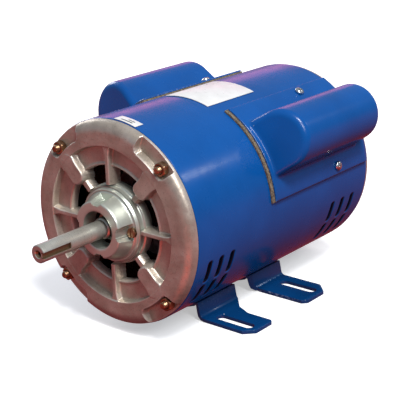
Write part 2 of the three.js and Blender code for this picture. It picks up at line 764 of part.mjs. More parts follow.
addPart("stator_core", statorCore(), LAMINATION);
for (let pole = 0; pole < 4; pole += 1) {
  addPart(`main_coil_${pole + 1}`, coil(6 * pole, 5, MAIN_SIDE, MAIN_END), COPPER);
  addPart(`start_coil_${pole + 1}`, coil(6 * pole + 3, 5, START_SIDE, START_END), COPPER);
}

TIE_BOLT.angles.forEach((angle, i) => {
  addPart(`tie_bolt_${i + 1}`, tieBolt(angle), YELLOW_ZINC);
  addPart(`tie_bolt_nut_${i + 1}`, tieBoltNut(angle), YELLOW_ZINC);
});

addPart("shaft", shaft(), BRIGHT_STEEL);
addPart("rotor_core", rotorCore(), LAMINATION);
addPart("rotor_cage", rotorCage(), CAN_ALUMINIUM);

for (const [end, front] of [["front", BEARING.front], ["rear", BEARING.rear]]) {
  addPart(`${end}_bearing_outer_race`, outerRace(front), BRIGHT_STEEL);
  addPart(`${end}_bearing_inner_race`, innerRace(front), BRIGHT_STEEL);
  addPart(`${end}_bearing_balls`, ballRow(front), NICKEL);
}
addPart("bearing_cap", bearingCap(), DARK_STEEL);
CAP_SCREW.angles.forEach((angle, i) => addPart(`cap_screw_${i + 1}`, capScrew(angle), YELLOW_ZINC));
addPart("wave_washer", waveWasher(), BRIGHT_STEEL);

for (const [side, place, length] of [["right", RIGHT_COVER, 70], ["left", LEFT_COVER, 82]]) {
  addPart(`${side}_capacitor_cover`, cover(place), BLUE_PAINT);
  addPart(`${side}_cover_gasket`, gasket(place), CORK);
  addPart(`${side}_cover_screw_1`, coverScrew(place, 1), NICKEL);
  addPart(`${side}_cover_screw_2`, coverScrew(place, -1), NICKEL);
  addPart(side === "right" ? "run_capacitor" : "start_capacitor", capacitor(place, length), CAN_ALUMINIUM);
}

addPart("nameplate", shellPlate(70.5, 101, 84, 144, 0.6), WHITE_PLATE);
addPart("front_label", shellPlate(73, 88, 3.6, 12.6, 0.4), WHITE_PLATE);
addPart("lead_grommet", leadGrommet(), BLACK_RUBBER);

addPart("governor_plate", governorPlate(), DARK_STEEL);
addPart("governor_weight_1", governorWeight(1), DARK_STEEL);
addPart("governor_weight_2", governorWeight(-1), DARK_STEEL);
addPart("governor_spool", governorSpool(), LAMINATE);
addPart("switch_board", switchBoard(), LAMINATE);
addPart("switch_arm", switchArm(), DARK_STEEL);

export default motor;
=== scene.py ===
"""Looks of the electric motor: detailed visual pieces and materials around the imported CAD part.

Shapes are worked out in millimetres in the motor's own frame: the shaft lies on the Y axis, y counts
backwards from the front rim of the shell, and z is height above the shaft. to_row() turns that into
metres in the part's frame.
"""

import math

import bmesh
import bpy
import numpy as np
from mathutils import Matrix, Vector


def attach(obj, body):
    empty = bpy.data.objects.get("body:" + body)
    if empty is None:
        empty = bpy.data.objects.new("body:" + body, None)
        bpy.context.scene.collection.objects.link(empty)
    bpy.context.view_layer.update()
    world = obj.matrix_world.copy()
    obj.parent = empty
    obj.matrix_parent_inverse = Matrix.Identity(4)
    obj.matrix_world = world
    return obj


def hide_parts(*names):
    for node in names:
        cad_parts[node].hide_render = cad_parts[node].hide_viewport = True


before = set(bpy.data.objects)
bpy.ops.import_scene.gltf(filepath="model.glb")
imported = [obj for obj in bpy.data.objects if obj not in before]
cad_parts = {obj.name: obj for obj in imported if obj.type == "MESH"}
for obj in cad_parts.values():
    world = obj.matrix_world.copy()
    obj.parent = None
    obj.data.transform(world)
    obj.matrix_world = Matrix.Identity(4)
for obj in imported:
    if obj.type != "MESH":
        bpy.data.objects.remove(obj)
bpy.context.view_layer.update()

MM = 0.001
SMALL_WELD, WELD = 0.002 * MM, 0.005 * MM
MIDDLE = 84.4  # from the front rim of the shell to the middle of the part
SHAFT_HEIGHT = 90.0
REAR_RIM = 235.8
SHELL_OUTER, SHELL_INNER, SHELL_FRONT, SHELL_REAR = 82.5, 80.5, 3.0, 232.8
SHAFT_TIP, SHAFT_RADIUS = -79.0, 7.0
BOLT_CIRCLE = 75.0
CROSS, DIAGONAL = (0, 90, 180, 270), (45, 135, 225, 315)

# ---- meshes ----


def to_row(points):
    """Points of the motor's frame in mm, as metres in the part's frame."""
    moved = np.array(points, float).reshape(-1, 3)
    return (moved + [0, -MIDDLE, SHAFT_HEIGHT]) * MM


def swung(points, angle):
    """Points turned about the shaft, from +X towards +Z."""
    turn = math.radians(angle)
    x, y, z = np.moveaxis(np.array(points, float), -1, 0)
    return np.stack(
        [x * math.cos(turn) - z * math.sin(turn), y, x * math.sin(turn) + z * math.cos(turn)], -1
    )


def make_piece(name, node, slot, points, faces, material, sharp=35.0, body="frame"):
    """A closed mesh that stands for a CAD node, or a new piece when node is None."""
    mesh = bpy.data.meshes.new(name)
    mesh.from_pydata(to_row(points).tolist(), [], faces)
    piece = bpy.data.objects.new(name, mesh)
    bpy.context.scene.collection.objects.link(piece)
    mesh.materials.append(material)
    work = bmesh.new()
    work.from_mesh(mesh)
    loose = [vertex for vertex in work.verts if not vertex.link_faces]
    bmesh.ops.delete(work, geom=loose, context="VERTS")
    bmesh.ops.remove_doubles(work, verts=work.verts, dist=SMALL_WELD)
    bmesh.ops.recalc_face_normals(work, faces=work.faces)
    work.to_mesh(mesh)
    work.free()
    shade(mesh, sharp)
    stands_for(piece, node, body)
    return piece


def stands_for(piece, node, body):
    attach(piece, body)
    if node:
        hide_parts(node)


def shade(mesh, sharp):
    """Smooth faces, with sharp edges where two faces meet at more than sharp degrees."""
    work = bmesh.new()
    work.from_mesh(mesh)
    for face in work.faces:
        face.smooth = True
    for edge in work.edges:
        if len(edge.link_faces) == 2:
            edge.smooth = edge.calc_face_angle(0) < math.radians(sharp)
    work.to_mesh(mesh)
    work.free()


def two_skins(outer, inner, filled, wrapped=True):
    """Points and faces of one closed body from two skins on one grid, walled round its filled cells."""
    rows, columns = outer.shape[:2]
    offset = rows * columns
    high, wide = filled.shape
    points = np.concatenate([outer.reshape(-1, 3), inner.reshape(-1, 3)])
    faces = []

    def is_filled(row, column):
        if wrapped:
            row %= high
        return 0 <= row < high and 0 <= column < wide and filled[row, column]

    for row, column in np.argwhere(filled):
        a = row * columns + column
        d = (row + 1) % rows * columns + column
        b, c = a + 1, d + 1
        faces.append((a, b, c, d))
        faces.append((offset + d, offset + c, offset + b, offset + a))
        sides = (
            (row, column - 1, d, a), (row, column + 1, b, c), (row - 1, column, a, b),
            (row + 1, column, c, d),
        )
        for next_row, next_column, p, q in sides:
            if not is_filled(next_row, next_column):
                faces.append((p, offset + p, offset + q, q))
    return points, faces


def lofted(sections, closed=False):
    """Points and faces through sections of equally many points, capped at both ends or closed."""
    count = len(sections[0])
    points = np.concatenate(sections)
    faces = []
    steps = len(sections) if closed else len(sections) - 1
    for step in range(steps):
        here, there = step * count, (step + 1) % len(sections) * count
        for i in range(count):
            k = (i + 1) % count
            faces.append((here + i, here + k, there + k, there + i))
    if not closed:
        faces.append(tuple(range(count)))
        faces.append(tuple(range(len(points) - count, len(points))))
    return points, faces


def ease(value, low, high):
    """From 0 at low to 1 at high, with soft ends."""
    t = np.clip((value - low) / (high - low), 0, 1)
    return t * t * (3 - 2 * t)


def smooth_max(a, b, k):
    h = np.clip(0.5 + 0.5 * (a - b) / k, 0, 1)
    return b + (a - b) * h + k * h * (1 - h)


def smooth_min(a, b, k):
    return -smooth_max(-a, -b, k)


def box_distance(u, v, half_u, half_v, corner):
    """Signed distance to a rectangle with rounded corners."""
    a, b = np.abs(u) - half_u + corner, np.abs(v) - half_v + corner
    return np.hypot(np.maximum(a, 0), np.maximum(b, 0)) + np.minimum(np.maximum(a, b), 0) - corner


def spread(low, high, step):
    """Evenly spaced numbers from low to high, about that step apart."""
    return np.linspace(low, high, max(2, int(round((high - low) / step)) + 1))


def grid_lines(*runs):
    """All the runs' numbers in order, each once."""
    return np.unique(np.round(np.concatenate(runs), 4))


def swing_between(turns, angle):
    """How far each turn lies from an angle, from -180 to 180 degrees."""
    return (turns - angle + 180) % 360 - 180


# ---- materials ----


def set_stops(node, stops):
    """Gives a colour ramp its stops."""
    elements = node.color_ramp.elements
    elements[0].position, elements[1].position = stops[0][0], stops[-1][0]
    elements[0].color, elements[1].color = (*stops[0][1], 1), (*stops[-1][1], 1)
    for position, colour in stops[1:-1]:
        elements.new(position).color = (*colour, 1)


class Nodes:
    """A material's node tree with short calls for the nodes used here."""

    def __init__(self, name):
        self.material = bpy.data.materials.new(name)
        self.material.use_nodes = True
        self.tree = self.material.node_tree
        self.tree.nodes.clear()
        output = self.tree.nodes.new("ShaderNodeOutputMaterial")
        self.shader = self.tree.nodes.new("ShaderNodeBsdfPrincipled")
        self.join(self.shader.outputs[0], output.inputs["Surface"])
        self.place = self.tree.nodes.new("ShaderNodeTexCoord").outputs["Object"]

    def join(self, source, target):
        self.tree.links.new(source, target)

    def noise(self, size, detail=3.0, stretch=None):
        """Noise with features of that size in mm."""
        node = self.tree.nodes.new("ShaderNodeTexNoise")
        node.inputs["Scale"].default_value = 1 / (size * MM)
        node.inputs["Detail"].default_value = detail
        self.join(self.stretched(stretch), node.inputs["Vector"])
        return node.outputs["Fac"]

    def stretched(self, stretch):
        if stretch is None:
            return self.place
        node = self.tree.nodes.new("ShaderNodeMapping")
        node.inputs["Scale"].default_value = stretch
        self.join(self.place, node.inputs["Vector"])
        return node.outputs["Vector"]

    def flecks(self, spacing, radius, share):
        """1 in a few small round spots, about one for each spacing in mm, in that share of cells."""
        node = self.tree.nodes.new("ShaderNodeTexVoronoi")
        node.inputs["Scale"].default_value = 1 / (spacing * MM)
        self.join(self.place, node.inputs["Vector"])
        spot = self.mapped(node.outputs["Distance"], 1, 0, radius / spacing, 1.3 * radius / spacing)
        split = self.tree.nodes.new("ShaderNodeSeparateColor")
        self.join(node.outputs["Color"], split.inputs[0])
        return self.math("MULTIPLY", spot, self.math("LESS_THAN", split.outputs[0], share))

    def ramp(self, value, stops):
        node = self.tree.nodes.new("ShaderNodeValToRGB")
        set_stops(node, stops)
        self.join(value, node.inputs["Fac"])
        return node.outputs["Color"]

    def mapped(self, value, low, high, from_low=0.3, from_high=0.7):
        node = self.tree.nodes.new("ShaderNodeMapRange")
        node.inputs["From Min"].default_value = from_low
        node.inputs["From Max"].default_value = from_high
        node.inputs["To Min"].default_value = low
        node.inputs["To Max"].default_value = high
        self.join(value, node.inputs["Value"])
        return node.outputs["Result"]

    def mix(self, share, first, second):
        node = self.tree.nodes.new("ShaderNodeMix")
        node.data_type = "RGBA"
        self.join(share, node.inputs["Factor"])
        colours = [socket for socket in node.inputs if socket.type == "RGBA"]
        self.join(first, colours[0])
        colours[1].default_value = (*second, 1)
        return [socket for socket in node.outputs if socket.type == "RGBA"][0]

    def math(self, operation, *values):
        node = self.tree.nodes.new("ShaderNodeMath")
        node.operation = operation
        for socket, value in zip(node.inputs, values):
            if isinstance(value, (int, float)):
                socket.default_value = value
            else:
                self.join(value, socket)
        return node.outputs[0]

    def shaft_place(self):
        """Distance from the shaft's line and place along it, in metres."""
        split = self.tree.nodes.new("ShaderNodeSeparateXYZ")
        self.join(self.place, split.inputs[0])
        height = self.math("SUBTRACT", split.outputs["Z"], SHAFT_HEIGHT * MM)
        across = self.math("MULTIPLY", split.outputs["X"], split.outputs["X"])
        squares = self.math("ADD", across, self.math("MULTIPLY", height, height))
        return self.math("SQRT", squares), split.outputs["Y"]

    def lines(self, value, size, detail=2.0):
        """Noise that changes along one number only, such as turning marks."""
        join = self.tree.nodes.new("ShaderNodeCombineXYZ")
        self.join(value, join.inputs[0])
        node = self.tree.nodes.new("ShaderNodeTexNoise")
        node.inputs["Scale"].default_value = 1 / (size * MM)
        node.inputs["Detail"].default_value = detail
        self.join(join.outputs[0], node.inputs["Vector"])
        return node.outputs["Fac"]

    def bump(self, *layers):
        """Bumps of (height field, height in mm), one over another."""
        normal = None
        for value, height in layers:
            node = self.tree.nodes.new("ShaderNodeBump")
            node.inputs["Distance"].default_value = height * MM
            self.join(value, node.inputs["Height"])
            if normal:
                self.join(normal, node.inputs["Normal"])
            normal = node.outputs["Normal"]
        self.join(normal, self.shader.inputs["Normal"])

    def set(self, **values):
        for name, value in values.items():
            socket = self.shader.inputs[name.replace("_", " ")]
            if isinstance(value, (int, float)):
                socket.default_value = value
            else:
                self.join(value, socket)

    def raised_edges(self, low, high):
        geometry = self.tree.nodes.new("ShaderNodeNewGeometry")
        return self.mapped(geometry.outputs["Pointiness"], 0, 1, low, high)


def blue_paint(name, dark, light):
    """Gloss paint with a few chips and lighter edges, partly paint wear and partly painted highlight;
    below the shell's outer skin it is nearly black, a painted shade.
    """
    n = Nodes(name)
    skin = SHELL_OUTER * MM
    colour = n.ramp(n.noise(60, 3), [(0.3, dark), (0.7, light)])
    # Lighter edges: partly paint wear, partly a painted highlight on the edges.
    edge_wear_and_highlight = n.math("MULTIPLY", n.raised_edges(0.53, 0.62), n.mapped(n.noise(1.6, 4), 0, 1, 0.52, 0.6))
    colour = n.mix(edge_wear_and_highlight, colour, (0.16, 0.27, 0.45))
    colour = n.mix(n.flecks(13, 0.55, 0.035), colour, (0.72, 0.74, 0.78))
    # Painted shade: nearly black inside the shell and in the louvre slots, where only shade falls.
    painted_shade_below_skin = n.mapped(n.shaft_place()[0], 1, 0, skin - 0.0006, skin - 0.0002)
    colour = n.mix(painted_shade_below_skin, colour, (0.003, 0.007, 0.02))
    n.set(Base_Color=colour, Roughness=n.mapped(n.noise(9, 4), 0.20, 0.30), Metallic=0.0)
    n.set(Specular_IOR_Level=0.28, Coat_Weight=0.1, Coat_Roughness=0.1, IOR=1.42)
    n.bump((n.noise(2.2, 1), 0.006), (n.noise(40, 1), 0.25))
    return n.material


def cast_aluminium():
    n = Nodes("cast_aluminium")
    colour = n.ramp(
        n.noise(14, 4),
        [(0.25, (0.35, 0.30, 0.24)), (0.55, (0.48, 0.42, 0.35)), (0.8, (0.57, 0.52, 0.45))],
    )
    colour = n.mix(n.mapped(n.noise(0.9, 2), 0, 0.5, 0.6, 0.72), colour, (0.13, 0.10, 0.09))
    # Painted highlight: raised edges are made lighter, standing in for the light they catch.
    colour = n.mix(n.math("MULTIPLY", n.raised_edges(0.51, 0.57), 0.6), colour, (0.72, 0.66, 0.62))
    n.set(Base_Color=colour, Roughness=n.mapped(n.noise(3, 4), 0.34, 0.50), Metallic=0.62)
    n.bump((n.noise(0.8, 3), 0.04), (n.noise(6, 2), 0.3))
    return n.material


def machined_aluminium():
    n = Nodes("machined_aluminium")
    radius, along = n.shaft_place()
    marks = n.lines(n.math("ADD", radius, along), 0.35, 3)
    n.set(Base_Color=n.ramp(marks, [(0.3, (0.45, 0.48, 0.42)), (0.7, (0.64, 0.68, 0.59))]))
    n.set(Metallic=0.68, Roughness=n.mapped(marks, 0.26, 0.42))
    n.bump((marks, 0.03), (n.noise(7, 2), 0.05))
    return n.material


def metal(name, dark, light, roughness, grain=2.0, height=0.02):
    n = Nodes(name)
    n.set(Base_Color=n.ramp(n.noise(6, 4), [(0.3, dark), (0.7, light)]), Metallic=1.0)
    n.set(Roughness=n.mapped(n.noise(grain * 2, 3), *roughness))
    n.bump((n.noise(grain, 3), height))
    return n.material


def ground_steel():
    n = Nodes("ground_steel")
    radius, along = n.shaft_place()
    tip, surface = (SHAFT_TIP - MIDDLE) * MM, SHAFT_RADIUS * MM
    marks = n.lines(along, 0.12, 2)
    colour = n.ramp(
        n.noise(9, 3, (1.0, 0.3, 1.0)),
        [(0.3, (0.50, 0.49, 0.42)), (0.5, (0.62, 0.61, 0.54)), (0.7, (0.72, 0.72, 0.65))],
    )
    below_surface = n.mapped(radius, 1, 0, surface - 0.0010, surface - 0.0004)
    behind_tip = n.mapped(along, 0, 1, tip + 0.0002, tip + 0.0006)
    in_front = n.mapped(along, 1, 0, tip + 0.0314, tip + 0.0334)
    in_keyway = n.math("MULTIPLY", n.math("MULTIPLY", below_surface, behind_tip), in_front)
    colour = n.mix(in_keyway, colour, (0.22, 0.15, 0.085))
    in_hub = n.mapped(along, 0, 0.8, tip + 0.0648, tip + 0.0658)
    colour = n.mix(in_hub, colour, (0.13, 0.13, 0.10))
    end_face = n.mapped(along, 1, 0, tip + 0.0001, tip + 0.0003)
    colour = n.mix(end_face, colour, (0.42, 0.38, 0.34))
    n.set(Base_Color=colour, Metallic=0.72, Roughness=n.mapped(marks, 0.26, 0.33))
    n.bump((marks, 0.0015), (n.noise(8, 2), 0.02))
    return n.material


def laminations():
    n = Nodes("lamination_steel")
    sheets = n.lines(n.shaft_place()[1], 0.5, 0)
    n.set(Base_Color=n.ramp(sheets, [(0.4, (0.07, 0.07, 0.08)), (0.6, (0.18, 0.19, 0.21))]))
    n.set(Metallic=0.9, Roughness=n.mapped(n.noise(3, 3), 0.4, 0.6))
    n.bump((sheets, 0.1))
    return n.material


def copper():
    n = Nodes("enamelled_copper")
    strands = n.noise(0.9, 2, (1.0, 0.08, 1.0))
    n.set(Base_Color=n.ramp(strands, [(0.35, (0.10, 0.022, 0.01)), (0.65, (0.34, 0.10, 0.035))]))
    n.set(Metallic=0.7, Roughness=n.mapped(strands, 0.25, 0.5))
    n.bump((strands, 0.25))
    return n.material


def cork():
    n = Nodes("cork")
    grains = n.noise(1.4, 4)
    shades = [(0.3, (0.05, 0.035, 0.022)), (0.5, (0.16, 0.12, 0.08)), (0.7, (0.30, 0.26, 0.17))]
    n.set(Base_Color=n.ramp(grains, shades), Metallic=0.0)
    n.set(Roughness=n.mapped(n.noise(2, 3), 0.75, 0.95))
    n.bump((grains, 0.3))
    return n.material


def plastic(name, dark, light, roughness, grain=1.2, height=0.03):
    n = Nodes(name)
    n.set(Base_Color=n.ramp(n.noise(10, 4), [(0.3, dark), (0.7, light)]), Metallic=0.0)
    n.set(Roughness=n.mapped(n.noise(4, 3), *roughness))
    n.bump((n.noise(grain, 2), height))
    return n.material


def grey(low, high):
    return (low, low, low), (high, high, high)


LOOKS = {
    "blue_paint": blue_paint("blue_paint", (0.001, 0.064, 0.26), (0.002, 0.086, 0.34)),
    "cast_aluminium": cast_aluminium(),
    "machined_aluminium": machined_aluminium(),
    "lamination_steel": laminations(),
    "enamelled_copper": copper(),
    "yellow_zinc": metal("yellow_zinc", (0.20, 0.10, 0.055), (0.44, 0.26, 0.15), (0.28, 0.42), 1.0),
    "ground_steel": ground_steel(),
    "bearing_balls": metal("bearing_balls", *grey(0.55, 0.75), (0.05, 0.12), 1.0, 0.003),
    "rotor_aluminium": metal("rotor_aluminium", *grey(0.22, 0.42), (0.3, 0.5), 1.5, 0.1),
    "dark_steel": metal("dark_steel", *grey(0.07, 0.16), (0.35, 0.55), 1.5, 0.05),
    "nickel": metal("nickel", *grey(0.55, 0.75), (0.12, 0.26), 1.0, 0.01),
    "capacitor_can": metal("capacitor_can", *grey(0.5, 0.7), (0.25, 0.4), 1.5),
    "cork": cork(),
    "white_plate": plastic(
        "white_plate", (0.72, 0.71, 0.69), (0.80, 0.79, 0.77), (0.25, 0.5), 2.0, 0.01
    ),
    "grey_marking": plastic("grey_marking", *grey(0.10, 0.16), (0.4, 0.6)),
    "black_rubber": plastic("black_rubber", *grey(0.012, 0.035), (0.6, 0.85)),
    "brown_laminate": plastic("brown_laminate", (0.16, 0.06, 0.03), (0.30, 0.13, 0.06), (0.4, 0.6)),
}
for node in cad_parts.values():
    slot = node.data.materials[0].name.split(".")[0]
    node.data.materials.clear()
    node.data.materials.append(LOOKS[slot])
# The feet get a darker copy of the shell's paint: painted shade, for the shade they lie in below the
# shell.
foot_paint_with_painted_shade = blue_paint("foot_paint_with_painted_shade", (0.001, 0.034, 0.125), (0.002, 0.046, 0.165))
for node in ("front_foot", "rear_foot"):
    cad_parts[node].data.materials[0] = foot_paint_with_painted_shade

# ---- end shields ----

# Heights on a shield count outwards from the rim plane.
RIM, FACE, FLOOR, BACK = 82.0, 5.2, -0.5, -7.0
RING, OPENING, HUB_RING, SEAT = 62.0, 46.0, 32.2, 20.3
HUB_BACK, BORE_BACK, EDGE_BACK = -9.0, 5.0, -2.9
SPIGOT = 79.95  # outside this radius the casting is only the thin edge that laps the shell
SHIELD_TURNS = 840
# How closely a shield's radii are spaced: from, to, step.
SHIELD_RUNS = [
    (21.4, 32.8, 0.3), (32.8, 44.0, 0.9), (44.0, 49.0, 0.35), (49.0, 60.0, 0.9),
    (60.0, 66.0, 0.4), (66.0, 72.0, 0.8), (72.0, RIM, 0.55),
]
THROUGH = -30.0  # well behind the casting
ROUNDED_FROM, RIM_DROP = 72.0, 7.9
RING_DRAFT, LIP = 1.8, 1.1
# Ribs run outwards between two radii, and stop at a third, within the ring.
CROSS_RIB = {
    "inner": 29, "outer": 64, "half_width": 2.2, "corner": 0.5, "flare": 1.6, "top": 4.3,
    "draft": 1.7, "within": 65.5,
}
PADDLE = {
    "inner": 40.5, "outer": 66, "half_width": 7.5, "corner": 6.5, "flare": 1.5, "top": FACE,
    "draft": 2.1, "within": 66.5,
}
STEM = {
    "inner": 29, "outer": 44, "half_width": 2.6, "corner": 0.5, "flare": 0, "top": 1.5,
    "draft": 1.6, "within": 45,
}
# Profiles of the hubs: radius and height.
FRONT_HUB = [
    (15.0, 18.1), (15.4, 18.5), (21.6, 18.5), (22.3, 18.2), (22.8, 17.4), (26.1, 5.9), (26.5, 5.3),
    (27.0, 5.2), (27.3, 4.2), (27.6, 5.2), (28.4, 5.2), (28.7, 4.9), (28.9, 2.7), (29.1, 2.4),
    (29.5, 2.4), (29.8, 1.4), (30.1, 2.4), (30.4, 2.4), (30.6, 2.1), (30.8, -0.8), (31.0, -1.2),
    (31.9, -1.6), (32.2, -2.0), (32.5, HUB_BACK),
]
REAR_HUB = [
    (0.0, 11.9), (19.6, 11.9), (21.2, 11.6), (22.6, 10.6), (26.3, 5.6), (27.0, 5.2), (30.3, 5.2),
    (30.6, 4.8), (30.8, -0.8), (31.9, -1.6), (32.2, -2.0), (32.5, HUB_BACK),
]
SCALLOP = {"radius": 7.0, "circle": 26.4, "floor": 5.6}
POCKET = {"inner": 69.0, "floor": -1.2, "before": 6.5, "after": 21.5, "corner": 5.5, "wall": 3.0}


def step_down(distance, top, bottom, width):
    """top inside an outline, bottom outside it, with a soft wall of that width."""
    return top + (bottom - top) * ease(distance, -width / 2, width / 2)


def by_radius(radius, profile):
    """The height that a profile of (radius, height) gives at each radius."""
    return np.interp(radius, *zip(*profile))


def rim_height(radius):
    """The flat outer ring, rounded like a quarter of an ellipse down to the rim."""
    share = np.clip((radius - ROUNDED_FROM) / (RIM - ROUNDED_FROM), 0, 1)
    return FACE - RIM_DROP * (1 - np.sqrt(1 - share**2))


def raised(height, x, z, angle, rib):
    """Adds a rib: a flat top, and walls with some draft down to the floor, then straight."""
    turn, radius = math.radians(angle), np.hypot(x, z)
    along = x * math.cos(turn) + z * math.sin(turn) - (rib["inner"] + rib["outer"]) / 2
    across = -x * math.sin(turn) + z * math.cos(turn)
    half_length = (rib["outer"] - rib["inner"]) / 2
    distance = box_distance(along, across, half_length, rib["half_width"], rib["corner"])
    distance = distance - rib["flare"] * ease(radius, RING - 7, RING + 1)
    top = step_down(distance, rib["top"], FLOOR - 0.5, rib["draft"])
    top = np.where(distance > rib["draft"] / 2 - 0.05, THROUGH, top)
    return smooth_max(height, np.where(radius < rib["within"], top, THROUGH), 0.8)


def casting_heights(x, z, hub):
    """Front surface of a shield: ring, floor, windows, the ribs between them, and the hub."""
    radius = np.hypot(x, z)
    height = step_down(RING - radius, rim_height(radius), FLOOR, RING_DRAFT)
    height = np.where(radius > RING + 1, rim_height(radius), height)
    height = step_down(OPENING - radius, height, THROUGH, 1.0)
    height = height + LIP * np.exp(-(((radius - OPENING - 1.6) / 0.9) ** 2))
    for angle in CROSS:
        height = raised(height, x, z, angle, CROSS_RIB)
    for angle in DIAGONAL:
        height = raised(height, x, z, angle, PADDLE)
        height = raised(height, x, z, angle, STEM)
    return np.where(radius < HUB_RING + 0.25, by_radius(radius, hub), height)


def cut_pockets(x, z, height):
    """Long nut pockets, open to the rim, from beside each nut towards twelve or six o'clock."""
    radius = np.hypot(x, z)
    turns = np.degrees(np.arctan2(z, x))
    arc = math.radians(1) * BOLT_CIRCLE  # mm for each degree
    middle, half = (POCKET["after"] - POCKET["before"]) / 2, (POCKET["after"] + POCKET["before"]) / 2
    deep = 20.0  # past the rim
    for angle in DIAGONAL:
        towards = 1 if angle in (45, 225) else -1
        swing = swing_between(turns, angle) * towards
        distance = box_distance(
            (swing - middle) * arc, radius - POCKET["inner"] - deep, half * arc, deep, POCKET["corner"]
        )
        cut = step_down(distance, POCKET["floor"], -THROUGH, POCKET["wall"])
        height = np.where(distance < 2.0, smooth_min(height, cut, 0.6), height)
    return height


def cut_scallops(x, z, height):
    """Round notches in the hub's flank, where the bearing cap's screws sit."""
    for angle in CROSS:
        turn = math.radians(angle)
        away_x = x - SCALLOP["circle"] * math.cos(turn)
        away_z = z - SCALLOP["circle"] * math.sin(turn)
        distance = np.hypot(away_x, away_z) - SCALLOP["radius"]
        cut = step_down(distance, SCALLOP["floor"], -THROUGH, 0.6)
        inside = (distance < 0.4) & (np.hypot(x, z) < 31)
        height = np.where(inside, np.minimum(height, cut), height)
    return height


def shield(name, node, hub, bore, place_y, sign, scalloped):
    """A cast end shield: front and back skins on one polar grid, open at its windows.

    place_y turns a height into a place along the shaft, and sign mirrors the rear shield.
    """
    radii = grid_lines(
        spread(bore, SHIELD_RUNS[0][0], 1.0), *(spread(*run) for run in SHIELD_RUNS),
        [SEAT - 0.1, SEAT, SPIGOT - 0.05, SPIGOT + 0.05],
    )
    turns = np.linspace(0, 2 * np.pi, SHIELD_TURNS, endpoint=False)
    radius, turn = np.meshgrid(radii, turns)
    x, z = radius * np.cos(turn), radius * np.sin(turn)
    height = cut_pockets(x, z, casting_heights(x, z, hub))
    if scalloped:
        height = cut_scallops(x, z, height)
    back = np.where(radius > SPIGOT, EDGE_BACK, BACK)
    back = np.where(radius < HUB_RING + 0.2, HUB_BACK, back)
    back = np.where(radius < SEAT - 0.05, BORE_BACK, back)
    solid = height > back + 0.05
    height = np.maximum(height, back + 0.02)
    near = solid[:, :-1] | solid[:, 1:]
    filled = near | np.roll(near, -1, 0)
    outer = np.stack([x * sign, place_y(height), z], -1)
    inner = np.stack([x * sign, place_y(back), z], -1)
    points, faces = two_skins(outer, inner, filled)
    piece = make_piece(name, node, "cast_aluminium", points, faces, LOOKS["cast_aluminium"], 60)
    piece.data.materials.append(LOOKS["machined_aluminium"])
    for face in piece.data.polygons:
        away = face.center / MM - Vector((0, 0, SHAFT_HEIGHT))
        if math.hypot(away.x, away.z) < HUB_RING + 0.2:
            face.material_index = 1


shield("front_shield_casting", "front_end_shield", FRONT_HUB, 15.0, lambda h: -h, 1, True)
shield("rear_shield_casting", "rear_end_shield", REAR_HUB, 0.01, lambda h: REAR_RIM + h, -1, False)

# ---- shell ----

ROLLED_WITHIN, ROLLED_DROP = 1.0, 0.4  # the tube's ends are rolled in a little
LOUVRE_WIDTH, LOUVRE_CORNER, LOUVRE_DROP, LOUVRE_EASE = 3.8, 1.7, 0.9, 1.6
LOUVRE_AT = (17.0, 30.5, 44.0, 182.0, 197.0, 212.0)
LOUVRE_ROWS = ((-27.0, -14.0), (-43.0, -30.0), (194.0, 207.0), (210.0, 223.0))
GROMMET_ANGLE, GROMMET_AT, GROMMET_HOLE = 196.0, 205.0, 8.0


def shell():
    """The rolled steel tube with pressed louvres."""
    ys = grid_lines(
        spread(SHELL_FRONT, SHELL_FRONT + 1.2, 0.3), spread(SHELL_FRONT + 1.2, SHELL_REAR - 1.2, 6.0),
        spread(SHELL_REAR - 1.2, SHELL_REAR, 0.3),
        *(spread(y - 2.4, y + LOUVRE_WIDTH + 2.4, 0.43) for y in LOUVRE_AT),
    )
    fine = [spread(edge - 2, edge + 2, 0.3) for row in LOUVRE_ROWS for edge in row]
    turns = grid_lines(spread(-50, 306, 2.0), *(spread(*row, 1.0) for row in LOUVRE_ROWS), *fine)
    turns = turns[turns < 310 - 0.5]
    y, turn = np.meshgrid(ys, turns)
    arc = math.radians(1) * SHELL_OUTER
    hole = np.hypot(swing_between(turn, GROMMET_ANGLE) * arc, y - GROMMET_AT) - GROMMET_HOLE
    for start in LOUVRE_AT:
        for low, high in LOUVRE_ROWS:
            across = swing_between(turn, (low + high) / 2) * arc
            along = y - start - LOUVRE_WIDTH / 2
            half = (high - low) / 2 * arc
            slot = box_distance(across, along, half, LOUVRE_WIDTH / 2, LOUVRE_CORNER)
            hole = np.minimum(hole, slot)
    pressed = LOUVRE_DROP * (1 - ease(hole, 0.0, LOUVRE_EASE))
    from_end = np.minimum(y - SHELL_FRONT, SHELL_REAR - y)
    rolled = ROLLED_DROP * (1 - ease(from_end, 0.0, ROLLED_WITHIN))
    radians = np.radians(turn)
    skins = []
    for radius in (SHELL_OUTER - pressed - rolled, SHELL_INNER - 0.6 * pressed):
        skins.append(np.stack([radius * np.cos(radians), y, radius * np.sin(radians)], -1))
    outside = hole > 0
    near = outside[:, :-1] | outside[:, 1:]
    points, faces = two_skins(*skins, near | np.roll(near, -1, 0))
    make_piece("shell_tube", "stator_shell", "blue_paint", points, faces, LOOKS["blue_paint"], 50)


shell()

# ---- capacitor covers ----

COVER_WALL, COVER_ROUND, COVER_HALF_ANGLE, COVER_SLOPE = 1.4, 5.0, 28.75, 10.0
RIGHT_COVER = {"angle": 33.5, "front": 109.0, "length": 107.0, "centre": 98.0, "radius": 24.0}
LEFT_COVER = {"angle": 144.0, "front": 94.0, "length": 103.0, "centre": 98.5, "radius": 26.0}
FLANGE_INNER, FLANGE_OUTER, FLANGE_AHEAD, FLANGE_BEHIND = 84.6, 85.9, 14.0, 13.0
FILLET, FLARED_TO = 2.4, 70
LOOK_FROM, LOOK_PAST = 80.0, 12.0  # radii between which a cover's skins are looked for
COVER_SCREW_TURN, COVER_SCREW_BEHIND = 24, 74
HALVINGS = 40


